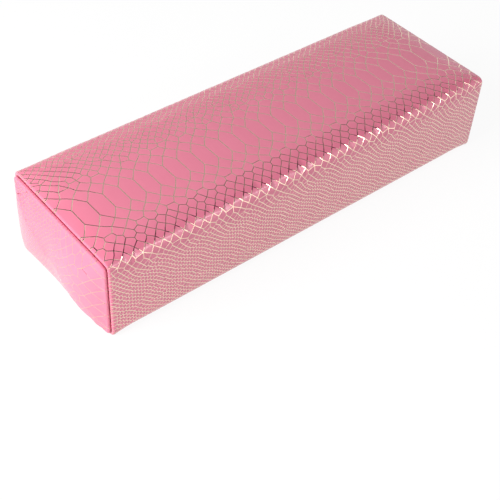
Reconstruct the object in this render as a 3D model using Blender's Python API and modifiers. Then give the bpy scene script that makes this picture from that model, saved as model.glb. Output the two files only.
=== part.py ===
"""Hand rest cushion: a foam block in a sewn cover of embossed leathercloth.

One sheet of leathercloth runs round the underside, front, top and back, and is closed by a
seam on the underside. A panel closes each end. At each end the sheet and the panel roll into
the seam together and their allowances run inwards on the corner's diagonal, back to back.
A row of long belly scales and a row of smaller ones on each side of it stand out of the top.

Metres, +Z up. The origin is the middle of the underside. +X runs along the cushion and its
front faces -Y.
"""

import math

import bmesh
import bpy
import numpy as np
from mathutils import Matrix, Vector
from mathutils.geometry import delaunay_2d_cdt

# Body, over the leathercloth: length between the seams, width and height at the long edges
LENGTH = 0.286
WIDTH = 0.0955
HEIGHT = 0.056
LONG_EDGE_RADIUS = 0.007

# How far the foam swells each face beyond that box
TOP_CROWN = 0.0015
SIDE_CROWN = 0.00075
END_CROWN = 0.007

# How far the end seams draw the cover in, and the length over which it fills out again
TOP_DRAW = 0.001
SIDE_DRAW = 0.0006
FILL_LENGTH = 0.03

# Leathercloth, seams and thread
LEATHER = 0.001
GAP = 0.0003
SEAM_ROLL = 0.0012
ALLOWANCE = 0.004
CLOSING_SEAM_FROM_BACK = 0.01525
THREAD_RADIUS = 0.0003
THREAD_END_GAP = 0.0012

# Embossed scales of the top
SCALE_ROW_Y = -0.0077
SCALE_SHIFT = -0.0022
SCALE_PITCH = 0.00982
BELLY_SIDE = 0.0146
LINK_SIDE = 0.001
SCALE_SLANT = 0.0052
EMBOSS = 0.0005
GROOVE = 0.0012

# Subdivision of the surfaces
ROLL_STEPS = 3
EDGE_STEPS = 4
END_STEPS = 4
MIDDLE_STEPS = 5
FACE_STEPS = 4
TOP_STEPS = 6
CAP_RINGS = (0.86, 0.66, 0.36)

# Share of the long edges' radius past which a ring shrinks towards its middle
SHRINK_AFTER = 0.85

PINK = (0.82, 0.22, 0.34, 1.0)
PALE_PINK = (0.88, 0.34, 0.46, 1.0)
FOAM_WHITE = (0.86, 0.84, 0.78, 1.0)
THREAD_PINK = (0.72, 0.20, 0.30, 1.0)

SMOOTH_ANGLE = math.radians(40)
HALF_ROOT = math.sqrt(0.5)

CLOSING_SEAM_Y = WIDTH / 2 - CLOSING_SEAM_FROM_BACK
# The roll's centre line leaves the end plane this far in, so that two rolls meet on the diagonal
ROLL_REACH = SEAM_ROLL * (1 + math.sqrt(2)) + GAP * HALF_ROOT
# The allowance's tip, measured in from the end plane and in from the sheet's face
TIP_IN = ROLL_REACH + (ALLOWANCE - SEAM_ROLL) * HALF_ROOT
TIP_DEEP = SEAM_ROLL * (1 + HALF_ROOT) + ALLOWANCE * HALF_ROOT
# The foam stands clear of the cover's inside. Its end edges clear the allowances' tips by a
# sheet's thickness, also where the foam already swells
FOAM_INSET = LEATHER + GAP
FOAM_BEVEL = TIP_IN + TIP_DEEP + TOP_DRAW + LEATHER + GAP - FOAM_INSET


def material(name, colour, roughness):
    """A plain Principled material."""
    finish = bpy.data.materials.new(name)
    finish.use_nodes = True
    shader = finish.node_tree.nodes["Principled BSDF"]
    shader.inputs["Base Color"].default_value = colour
    shader.inputs["Roughness"].default_value = roughness
    finish.diffuse_color = colour
    return finish


def trace(start, heading, legs):
    """Points, outward normals and distances along straight legs and right-hand arcs.

    A leg is (radius, amount, steps). With radius 0 it is straight and amount is its length;
    otherwise it is an arc and amount is its turn in degrees. Outward is left of the heading.
    """
    point = np.array(start, float)
    angle = math.radians(heading)
    points, angles, distances = [point], [angle], [0.0]
    for radius, amount, steps in legs:
        turn = math.radians(amount) / steps if radius else 0.0
        chord = 2 * radius * math.sin(turn / 2) if radius else amount / steps
        run = radius * turn if radius else chord
        for _ in range(steps):
            toward = angle - turn / 2
            point = point + chord * np.array((math.cos(toward), math.sin(toward)))
            angle -= turn
            points.append(point)
            angles.append(angle)
            distances.append(distances[-1] + run)
    angles = np.array(angles)
    normals = np.stack((-np.sin(angles), np.cos(angles)), axis=1)
    return np.array(points), normals, np.array(distances)


def girth(gap):
    """The sheet's path round the body in (y, z), from one lip of the closing seam to the other."""
    straight_width = WIDTH - 2 * LONG_EDGE_RADIUS
    straight_height = HEIGHT - 2 * LONG_EDGE_RADIUS
    to_front = CLOSING_SEAM_Y - gap / 2 + straight_width / 2
    from_back = straight_width / 2 - CLOSING_SEAM_Y - gap / 2
    corner = (LONG_EDGE_RADIUS, 90, EDGE_STEPS)
    return trace(
        (CLOSING_SEAM_Y - gap / 2, 0.0),
        180,
        [
            (0, to_front, FACE_STEPS),
            corner,
            (0, straight_height, FACE_STEPS),
            corner,
            (0, straight_width, TOP_STEPS),
            corner,
            (0, straight_height, FACE_STEPS),
            corner,
            (0, from_back, 1),
        ],
    )


def lengthwise():
    """The sheet's path along the body in (x, depth): allowance, roll, body, roll, allowance."""
    body = LENGTH - 2 * ROLL_REACH
    middle = body - 2 * FILL_LENGTH
    allowance = (0, ALLOWANCE, 1)
    roll = (SEAM_ROLL, 135, ROLL_STEPS)
    end = (0, FILL_LENGTH, END_STEPS)
    legs = [allowance, roll, end, (0, middle, MIDDLE_STEPS), end, roll, allowance]
    return trace((TIP_IN - LENGTH / 2, -TIP_DEEP), 135, legs)


def swollen(x, inset, place, outward):
    """Space points for places on the girth, set in by inset and swollen for their x.

    The faces are crowned where the cover has filled out, and drawn in towards the seams. The
    underside stays flat.
    """
    y, z = place[..., 0], place[..., 1]
    from_seam = np.clip((LENGTH / 2 - ROLL_REACH - np.abs(x)) / FILL_LENGTH, 0, 1)
    fill = 1 - (1 - from_seam) ** 2
    side = SIDE_CROWN * fill * (1 - (2 * z / HEIGHT - 1) ** 2)
    top = np.where(outward[..., 1] > 0, TOP_CROWN * fill * (1 - (2 * y / WIDTH) ** 2), 0)
    draw = (1 - fill) * TOP_DRAW * z / HEIGHT
    swollen_y = y * (1 - (1 - fill) * 2 * SIDE_DRAW / WIDTH) + outward[..., 0] * (side - inset)
    swollen_z = z - draw + outward[..., 1] * (top - inset)
    return np.stack((np.broadcast_to(x, swollen_y.shape), swollen_y, swollen_z), axis=-1)


def inset_polygon(corners, distance):
    """The corners of a convex, anticlockwise polygon whose sides have moved in by distance."""
    corners = np.asarray(corners)
    ahead = np.roll(corners, -1, axis=0) - corners
    ahead /= np.linalg.norm(ahead, axis=1, keepdims=True)
    behind = np.roll(ahead, 1, axis=0)
    inward = np.stack((-ahead[:, 1], ahead[:, 0]), axis=1)
    inward_behind = np.roll(inward, 1, axis=0)
    share = 1 + np.sum(ahead * behind, axis=1, keepdims=True)
    return corners + distance * (inward + inward_behind) / share


def scale_outlines(belly_line):
    """Six-sided scales in sheet coordinates: the belly row and a row of links on each side."""
    half = SCALE_PITCH / 2
    limit = LENGTH / 2 - ROLL_REACH - GROOVE
    link_offset = (BELLY_SIDE + LINK_SIDE) / 2 + SCALE_SLANT
    rows = [(0, BELLY_SIDE, 0), (link_offset, LINK_SIDE, half), (-link_offset, LINK_SIDE, half)]
    outlines = []
    for offset, side, shift in rows:
        first = math.ceil((-limit + half - SCALE_SHIFT - shift) / SCALE_PITCH)
        last = math.floor((limit - half - SCALE_SHIFT - shift) / SCALE_PITCH)
        for count in range(first, last + 1):
            u = SCALE_SHIFT + shift + count * SCALE_PITCH
            v = belly_line + offset
            tip = side / 2 + SCALE_SLANT
            outlines.append([
                (u, v - tip),
                (u + half, v - side / 2),
                (u + half, v + side / 2),
                (u, v + tip),
                (u - half, v + side / 2),
                (u - half, v - side / 2),
            ])
    return outlines


def embossed_sheet():
    """Triangles of the wrap in sheet coordinates: a grid with the scales let into it."""
    _, _, across = girth(GAP)
    _, _, along = lengthwise()
    along = along - along[-1] / 2
    # The top starts past the underside and the front, each with the long edge that follows it
    top_start = 2 * (FACE_STEPS + EDGE_STEPS)
    belly_line = across[top_start] + SCALE_ROW_Y + WIDTH / 2 - LONG_EDGE_RADIUS
    outlines = scale_outlines(belly_line)

    edge = np.concatenate(outlines)
    low = edge.min(axis=0) - GROOVE
    high = edge.max(axis=0) + GROOVE
    grid = np.stack(np.meshgrid(along, across, indexing="ij"), axis=-1)
    free = ~np.all((grid > low) & (grid < high), axis=2)
    points = [tuple(point) for point in grid[free]]
    heights = [0.0] * len(points)
    number = np.where(free, np.cumsum(free).reshape(free.shape) - 1, -1)
    lines = ((number[:-1], number[1:]), (number[:, :-1], number[:, 1:]))
    edges = [(int(a), int(b)) for near, far in lines
             for a, b in zip(near.ravel(), far.ravel()) if a >= 0 and b >= 0]
    for outline in outlines:
        for corners, height in ((outline, 0.0), (inset_polygon(outline, GROOVE / 2), EMBOSS)):
            start = len(points)
            points += [tuple(corner) for corner in corners]
            heights += [height] * len(corners)
            count = len(corners)
            edges += [(start + i, start + (i + 1) % count) for i in range(count)]

    plane = [Vector(point) for point in points]
    merged, _, faces, sources, _, _ = delaunay_2d_cdt(plane, edges, [], 0, GAP / 100)
    height = np.array([max(heights[i] for i in source) for source in sources])
    sheet = np.array([tuple(point) for point in merged])
    return sheet, height, faces


def sheet_points(sheet, height):
    """Space points of sheet coordinates (along, across), raised by height."""
    places, outward, across = girth(GAP)
    path, _, along = lengthwise()
    along = along - along[-1] / 2
    x = np.interp(sheet[:, 0], along, path[:, 0])
    inset = -np.interp(sheet[:, 0], along, path[:, 1]) - height
    place = np.stack([np.interp(sheet[:, 1], across, places[:, i]) for i in (0, 1)], axis=1)
    facing = np.stack([np.interp(sheet[:, 1], across, outward[:, i]) for i in (0, 1)], axis=1)
    return swollen(x, inset, place, facing)


def ring(x, inset):
    """A closed ring round the body at x, set in from its faces.

    Past most of the long edges' radius the ring shrinks towards its middle instead.
    """
    places, outward, _ = girth(0.0)
    rounded = min(inset, SHRINK_AFTER * LONG_EDGE_RADIUS)
    points = swollen(np.full(len(places) - 1, x), rounded, places[:-1], outward[:-1])
    middle = np.array((x, 0, HEIGHT / 2))
    half_sides = np.array((1, WIDTH / 2, HEIGHT / 2)) - (0, rounded, rounded)
    share = 1 - (inset - rounded) / half_sides
    return middle + (points - middle) * share


def cap_rings(rim, crown):
    """Rings that shrink from an end's rim to its middle, and the middle, bulged along X.

    The bulge is a parabola across the end times one up it.
    """
    middle = (rim.min(axis=0) + rim.max(axis=0)) / 2
    half_sides = (rim.max(axis=0) - middle)[1:]
    rings = []
    for share in CAP_RINGS:
        shrunk = middle + (rim - middle) * share
        level = 1 - ((shrunk - middle)[:, 1:] / half_sides) ** 2
        shrunk[:, 0] += crown * level[:, 0] * level[:, 1]
        rings.append(shrunk)
    middle[0] += crown
    return rings, middle


def mesh_object(name, points, faces, finish, collection):
    """A smooth-shaded mesh object."""
    mesh = bpy.data.meshes.new(name)
    mesh.from_pydata([tuple(point) for point in points], [], faces)
    mesh.materials.append(finish)
    mesh.shade_smooth()
    mesh.set_sharp_from_angle(angle=SMOOTH_ANGLE)
    thing = bpy.data.objects.new(name, mesh)
    collection.objects.link(thing)
    return thing


def loft(name, rings, poles, finish, collection):
    """Closed rings joined in order, with a pole at the start and, if given, at the end."""
    size = len(rings[0])
    points = np.concatenate(rings + [np.array(poles)])
    faces = []
    for row in range(len(rings) - 1):
        for i in range(size):
            near, far = row * size + i, row * size + (i + 1) % size
            faces.append((near, near + size, far + size, far))
    start_pole = len(rings) * size
    faces += [(start_pole, i, (i + 1) % size) for i in range(size)]
    if len(poles) > 1:
        last = (len(rings) - 1) * size
        faces += [(start_pole + 1, last + (i + 1) % size, last + i) for i in range(size)]
    return mesh_object(name, points, faces, finish, collection)


def thicken(thing):
    """Leathercloth thickness, added on the inside of an open surface."""
    wall = thing.modifiers.new("Leathercloth", "SOLIDIFY")
    wall.thickness = LEATHER
    wall.offset = -1


def cover_wrap(collection):
    """The sheet round the underside, front, top and back, with its scales."""
    sheet, height, faces = embossed_sheet()
    finish = material("pink leathercloth", PINK, 0.32)
    wrap = mesh_object("cover_wrap", sheet_points(sheet, height), faces, finish, collection)
    thicken(wrap)


def end_panel(name, side, collection):
    """An end's panel; side is -1 on the left and 1 on the right.

    Its roll and allowance mirror the wrap's on the corner's diagonal, so depth and the
    distance from the end plane change places.
    """
    path, _, _ = lengthwise()
    rim = path[: ROLL_STEPS + 2]
    rings = []
    for x, depth in rim:
        from_end = x + LENGTH / 2
        rings.append(ring(side * (LENGTH / 2 + depth), from_end))
    face, middle = cap_rings(rings[-1], side * END_CROWN)
    rings = rings + face
    rings.reverse()
    finish = material(f"pale leathercloth {name}", PALE_PINK, 0.36)
    panel = loft(name, rings, [middle], finish, collection)
    if side > 0:
        turn_inside_out(panel)
    thicken(panel)


def turn_inside_out(thing):
    """Reverse every face of a mesh."""
    work = bmesh.new()
    work.from_mesh(thing.data)
    bmesh.ops.reverse_faces(work, faces=work.faces)
    work.to_mesh(thing.data)
    work.free()


def foam_block(collection, cutters):
    """The core, with its end edges pressed back by the allowances and a groove for the thread."""
    end_x = LENGTH / 2 - FOAM_INSET
    stations = [LENGTH / 2 - FOAM_BEVEL]
    filled = LENGTH / 2 - ROLL_REACH - FILL_LENGTH
    stations += [stations[0] + (filled - stations[0]) * step / END_STEPS
                 for step in range(1, END_STEPS + 1)]
    rings = [ring(-end_x, FOAM_BEVEL)]
    rings += [ring(-x, FOAM_INSET) for x in stations]
    rings += [ring(x, FOAM_INSET) for x in reversed(stations)]
    rings.append(ring(end_x, FOAM_BEVEL))
    left, left_pole = cap_rings(rings[0], -END_CROWN)
    right, right_pole = cap_rings(rings[-1], END_CROWN)
    rings = left[::-1] + rings + right
    finish = material("foam", FOAM_WHITE, 0.95)
    block = loft("foam_block", rings, [left_pole, right_pole], finish, collection)

    bpy.ops.mesh.primitive_cube_add(size=1)
    cutter = bpy.context.object
    cutter.name = "closing_seam_groove"
    cutter.data.name = cutter.name
    groove = 2 * (THREAD_RADIUS + GAP)
    past_both_ends = LENGTH + 4 * END_CROWN
    cutter.data.transform(Matrix.Diagonal((past_both_ends, groove, 2 * (groove + FOAM_INSET), 1)))
    cutter.location = (0, CLOSING_SEAM_Y, 0)
    for other in list(cutter.users_collection):
        other.objects.unlink(cutter)
    cutters.objects.link(cutter)
    cutter.display_type = "WIRE"
    cutter.hide_render = True
    cut = block.modifiers.new("Thread groove", "BOOLEAN")
    cut.operation = "DIFFERENCE"
    cut.object = cutter


def thread(name, points, collection):
    """A thread laid through points, as a round tube with closed ends."""
    curve = bpy.data.curves.new(name, "CURVE")
    curve.dimensions = "3D"
    curve.bevel_depth = THREAD_RADIUS
    curve.bevel_resolution = 2
    curve.use_fill_caps = True
    spline = curve.splines.new("POLY")
    spline.points.add(len(points) - 1)
    for place, point in zip(spline.points, points):
        place.co = (*point, 1.0)
    curve.materials.append(material(f"thread {name}", THREAD_PINK, 0.6))
    collection.objects.link(bpy.data.objects.new(name, curve))


def end_seam_thread(name, side, collection):
    """The stitch line inside an end seam, on the foam side of the wrap's allowance."""
    path, _, _ = lengthwise()
    halfway = (path[0] + path[1]) / 2
    away = (LEATHER + GAP + THREAD_RADIUS) * HALF_ROOT
    x = side * -(halfway[0] + away)
    inset = -halfway[1] - away
    places, outward, _ = girth(THREAD_END_GAP)
    points = swollen(np.full(len(places), x), inset, places, outward)
    thread(name, points, collection)


def closing_seam_thread(collection):
    """The stitch line inside the closing seam, along the underside."""
    z = LEATHER + GAP + THREAD_RADIUS
    reach = LENGTH / 2 - ROLL_REACH - FILL_LENGTH
    thread("closing_seam_thread", [(x, CLOSING_SEAM_Y, z) for x in (-reach, reach)], collection)


def build():
    """Clear the scene and model the cushion."""
    for thing in list(bpy.data.objects):
        bpy.data.objects.remove(thing)
    parts = bpy.data.collections.new("hand_rest_cushion")
    cutters = bpy.data.collections.new("cutters")
    bpy.context.scene.collection.children.link(parts)
    bpy.context.scene.collection.children.link(cutters)
    foam_block(parts, cutters)
    cover_wrap(parts)
    for name, side in (("left", -1), ("right", 1)):
        end_panel(f"end_panel_{name}", side, parts)
        end_seam_thread(f"end_seam_thread_{name}", side, parts)
    closing_seam_thread(parts)


build()
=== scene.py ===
"""Hand rest cushion: foam in a sewn cover of glossy leathercloth embossed with snakeskin.

The cover is built scale by scale. Rows of seeds on the flat sheet give the scales their
outlines, each scale is a plate, and the grooves between the plates carry metallic foil. The
flat sheet is then laid round the padded body, whose swelling comes from a cloth simulation.

Metres, +Z up. The origin is the middle of the underside and the front faces -Y.
"""

import logging
import math
from dataclasses import dataclass, field
from enum import Enum, IntEnum
from typing import Any

import bpy
import numpy as np
from mathutils import Matrix, Vector
from mathutils.geometry import delaunay_2d_cdt


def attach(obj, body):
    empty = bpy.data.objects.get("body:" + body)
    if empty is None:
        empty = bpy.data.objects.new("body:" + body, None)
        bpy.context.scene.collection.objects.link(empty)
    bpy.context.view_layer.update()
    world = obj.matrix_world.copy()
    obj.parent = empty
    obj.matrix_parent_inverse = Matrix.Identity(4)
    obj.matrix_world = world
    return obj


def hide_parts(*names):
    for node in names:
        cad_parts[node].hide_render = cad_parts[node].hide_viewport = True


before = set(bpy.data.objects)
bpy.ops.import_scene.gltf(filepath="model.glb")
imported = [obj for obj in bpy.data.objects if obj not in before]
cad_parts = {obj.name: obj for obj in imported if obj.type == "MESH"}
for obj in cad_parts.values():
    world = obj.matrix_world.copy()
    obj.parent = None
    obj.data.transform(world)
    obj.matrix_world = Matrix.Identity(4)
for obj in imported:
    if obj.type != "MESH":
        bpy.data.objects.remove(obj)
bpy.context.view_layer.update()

# Seeds lie up to this far past a sheet's border
MARGIN = 0.025
# Closer together than this is the same place
TINY = 1e-7
# Lengths are divided by at least this
LEAST = 1e-9
# Two sides whose sine is smaller count as one straight line
STRAIGHT = 0.15
# How far a sheet turns on its way into an end seam, in degrees
SEAM_TURN = 135
LOG = logging.getLogger("hand_rest_cushion")


def placed(name: str, data: bpy.types.ID) -> bpy.types.Object:
    """A new object of the data, linked to the scene.

    Args:
        name: its name.
        data: its mesh, light or camera.

    Returns:
        The object.
    """
    made = bpy.data.objects.new(name, data)
    bpy.context.scene.collection.objects.link(made)
    return made


@dataclass(frozen=True)
class Leg:
    """One leg of a path: straight with radius 0, otherwise a right-hand arc."""

    length: float
    radius: float = 0.0

    @property
    def turn(self) -> float:
        """The arc's turn in radians."""
        return self.length / self.radius if self.radius else 0.0


def arc(radius: float, degrees: float) -> Leg:
    """A right-hand arc of a radius and a turn in degrees."""
    return Leg(radius * math.radians(degrees), radius)


class Path:
    """Straight legs and arcs laid end to end, read at any distance along them."""

    def __init__(self, start: tuple[float, float], heading: float, legs: list[Leg]) -> None:
        """Lay the legs.

        Args:
            start: the first point.
            heading: the first direction in degrees.
            legs: the legs in order.
        """
        point, angle, distance = np.array(start, float), math.radians(heading), 0.0
        points, angles, starts = [], [], []
        for leg in legs:
            points.append(point)
            angles.append(angle)
            starts.append(distance)
            chord = leg.length * np.sinc(leg.turn / (2 * math.pi))
            toward = angle - leg.turn / 2
            point = point + chord * np.array((math.cos(toward), math.sin(toward)))
            angle -= leg.turn
            distance += leg.length
        self.points = np.array(points)
        self.angles = np.array(angles)
        self.starts = np.array(starts)
        self.bends = np.array([1 / leg.radius if leg.radius else 0.0 for leg in legs])
        self.length = distance

    def at(self, distance: np.ndarray) -> tuple[np.ndarray, np.ndarray]:
        """Points and outward normals at distances along the path.

        On an arc the chord from its start is the run times sin(t/2)/(t/2), where t is the
        turn so far, and points half of t to the right. Outward is left of the heading.

        Args:
            distance: distances from the path's start.

        Returns:
            Points and normals, each with a last axis of two.
        """
        leg = np.clip(np.searchsorted(self.starts, distance, side="right") - 1, 0, None)
        run = distance - self.starts[leg]
        turn = run * self.bends[leg]
        chord = run * np.sinc(turn / (2 * np.pi))
        toward = self.angles[leg] - turn / 2
        angle = self.angles[leg] - turn
        ahead = np.stack((np.cos(toward), np.sin(toward)), -1)
        points = self.points[leg] + chord[..., None] * ahead
        return points, np.stack((-np.sin(angle), np.cos(angle)), -1)


class GirthLeg(IntEnum):
    """Legs of the girth that are read by name, numbered from the closing seam."""

    FRONT_LOW_EDGE = 1
    FRONT_TOP_EDGE = 3
    TOP = 4
    UNDER_BACK = 8


@dataclass
class CushionForm:
    """The padded body: its box, its seams and how the cover swells between them."""

    length: float = 0.286
    width: float = 0.0955
    height: float = 0.056
    edge_radius: float = 0.007
    top_crown: float = 0.0020
    side_crown: float = 0.00075
    end_crown: float = 0.007
    top_draw: float = 0.001
    side_draw: float = 0.0006
    fill_length: float = 0.03
    seam_dip: float = 0.0007
    dip_length: float = 0.010
    sharpening: float = 0.40
    sharp_length: float = 0.016
    leather: float = 0.001
    gap: float = 0.0003
    seam_roll: float = 0.0012
    allowance: float = 0.0035
    seam_from_back: float = 0.01525
    swell: "ClothSwell | None" = None

    def __post_init__(self) -> None:
        """Lay the girth, which starts and ends at the closing seam, and the lengthwise path."""
        half_root = math.sqrt(0.5)
        self.roll_reach = self.seam_roll * (1 + math.sqrt(2)) + self.gap * half_root
        tip_in = self.roll_reach + (self.allowance - self.seam_roll) * half_root
        tip_deep = self.seam_roll * (1 + half_root) + self.allowance * half_root
        self.body = self.length - 2 * self.roll_reach
        roll = arc(self.seam_roll, SEAM_TURN)
        edge = Leg(self.allowance)
        self.lengthwise = Path((tip_in - self.length / 2, -tip_deep), SEAM_TURN,
                               [edge, roll, Leg(self.body), roll, edge])
        self.roll_length = roll.length
        self.seam_y = self.width / 2 - self.seam_from_back
        self.girth = self.lay_girth(self.gap)
        self.ring = self.lay_girth(0.0)

    def lay_girth(self, gap: float) -> Path:
        """The sheet's path round the body in (y, z), with a gap at the closing seam.

        Args:
            gap: how wide the gap is.

        Returns:
            The path, which starts at the closing seam and runs to the front.
        """
        flat = self.width - 2 * self.edge_radius
        upright = self.height - 2 * self.edge_radius
        corner = arc(self.edge_radius, 90)
        start = self.seam_y - gap / 2
        legs = [Leg(start + flat / 2), corner, Leg(upright), corner, Leg(flat), corner,
                Leg(upright), corner, Leg(flat / 2 - self.seam_y - gap / 2)]
        return Path((start, 0.0), 180, legs)

    def belly_distance(self, belly_y: float) -> float:
        """The girth's distance at which it crosses the top at a given y."""
        top = self.girth.starts[GirthLeg.TOP]
        return float(top + belly_y + self.width / 2 - self.edge_radius)

    def fill(self, x: np.ndarray) -> np.ndarray:
        """How far the cover has filled out at x: 0 at the end seams, 1 past the fill length."""
        from_seam = np.clip((self.body / 2 - np.abs(x)) / self.fill_length, 0, 1)
        return 1 - (1 - from_seam) ** 2

    def nearness(self, x: np.ndarray, length: float) -> np.ndarray:
        """1 at the end seams, falling to 0 at a length from them."""
        return (1 - np.clip((self.body / 2 - np.abs(x)) / length, 0, 1)) ** 2

    def place(self, x: np.ndarray, inset: np.ndarray, spot: np.ndarray, outward: np.ndarray,
              girth: np.ndarray) -> np.ndarray:
        """Space points for spots on the girth, set in by inset and swollen for their x.

        The cross-section shrinks towards the end seams, by the draws, its long edges get
        sharper there, and each face is pushed out by the simulated swell. An edge's radius
        shrinks by s where each point moves by s times its corner's signs less its normal.

        Args:
            x: places along the cushion.
            inset: how far inside the cover's face each point lies.
            spot: (y, z) on the girth.
            outward: the girth's normals.
            girth: distances along the girth, for the swell.

        Returns:
            Points with a last axis of three.
        """
        y, z = spot[..., 0], spot[..., 1]
        shrink = self.edge_radius * self.sharpening * self.nearness(x, self.sharp_length)
        share_y = np.clip(y / (self.width / 2 - self.edge_radius), -1, 1)
        share_z = np.clip((z * 2 / self.height - 1) / (1 - 2 * self.edge_radius / self.height),
                          -1, 1)
        y = y + shrink * (share_y - outward[..., 0])
        z = z + shrink * (share_z - outward[..., 1])
        drawn = 1 - self.fill(x)
        up = np.clip(outward[..., 1], 0, 1) ** 2 * self.top_crown
        sideways = outward[..., 0] ** 2 * self.side_crown
        out = (up + sideways) * self.swell.wrap(x, girth) - inset
        dip = self.seam_dip * self.nearness(x, self.dip_length) * np.clip(outward[..., 1], 0, 1)
        swollen_y = y * (1 - drawn * 2 * self.side_draw / self.width) + outward[..., 0] * out
        swollen_z = z - drawn * self.top_draw * z / self.height + outward[..., 1] * out - dip
        return np.stack((np.broadcast_to(x, swollen_y.shape), swollen_y, swollen_z), -1)

    def wrap_surface(self, u: np.ndarray, v: np.ndarray, height: np.ndarray) -> np.ndarray:
        """Space points of the wrap's sheet.

        The lengthwise path turns u into a place along the body and a depth below its face,
        and height moves the point along that path's normal.

        Args:
            u: distances from the sheet's middle along the cushion.
            v: distances along the girth.
            height: heights above the sheet's face.

        Returns:
            Points with a last axis of three.
        """
        line, normal = self.lengthwise.at(u + self.lengthwise.length / 2)
        line = line + height[..., None] * normal
        spot, outward = self.girth.at(v)
        return self.place(line[..., 0], -line[..., 1], spot, outward, v)

    def rim_surface(self, side: int, run: np.ndarray, around: np.ndarray,
                    height: np.ndarray) -> np.ndarray:
        """Space points of an end panel's rolled rim.

        The rim mirrors the wrap's on the corner's diagonal: depth and the distance from the
        end plane change places.

        Args:
            side: -1 for the left end, 1 for the right.
            run: distances from the allowance's tip.
            around: distances along the closed girth.
            height: heights above the sheet's face.

        Returns:
            Points with a last axis of three.
        """
        line, normal = self.lengthwise.at(run)
        line = line + height[..., None] * normal
        inset = line[..., 0] + self.length / 2
        x = side * (self.length / 2 + line[..., 1])
        spot, outward = self.ring.at(around)
        return self.place(x, inset, spot, outward, around)


class Bearings:
    """Places round a closed outline, read by their bearing from its middle."""

    def __init__(self, offset: np.ndarray, places: np.ndarray, length: float) -> None:
        """Set up a table over five turns, so that every bearing lies well inside it.

        Args:
            offset: (y, z) from the middle at each place, clockwise.
            places: distances along the outline.
            length: the outline's length.
        """
        turns = np.arange(-2, 3)
        table = -np.unwrap(np.arctan2(offset[:, 1], offset[:, 0]))
        self.bearings = np.concatenate([table + 2 * np.pi * turn for turn in turns])
        self.places = np.concatenate([places + length * turn for turn in turns])
        self.length = length

    def at(self, bearing: np.ndarray) -> np.ndarray:
        """The distances along the outline that lie at the bearings."""
        return np.interp(-bearing, self.bearings, self.places) % self.length


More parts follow.
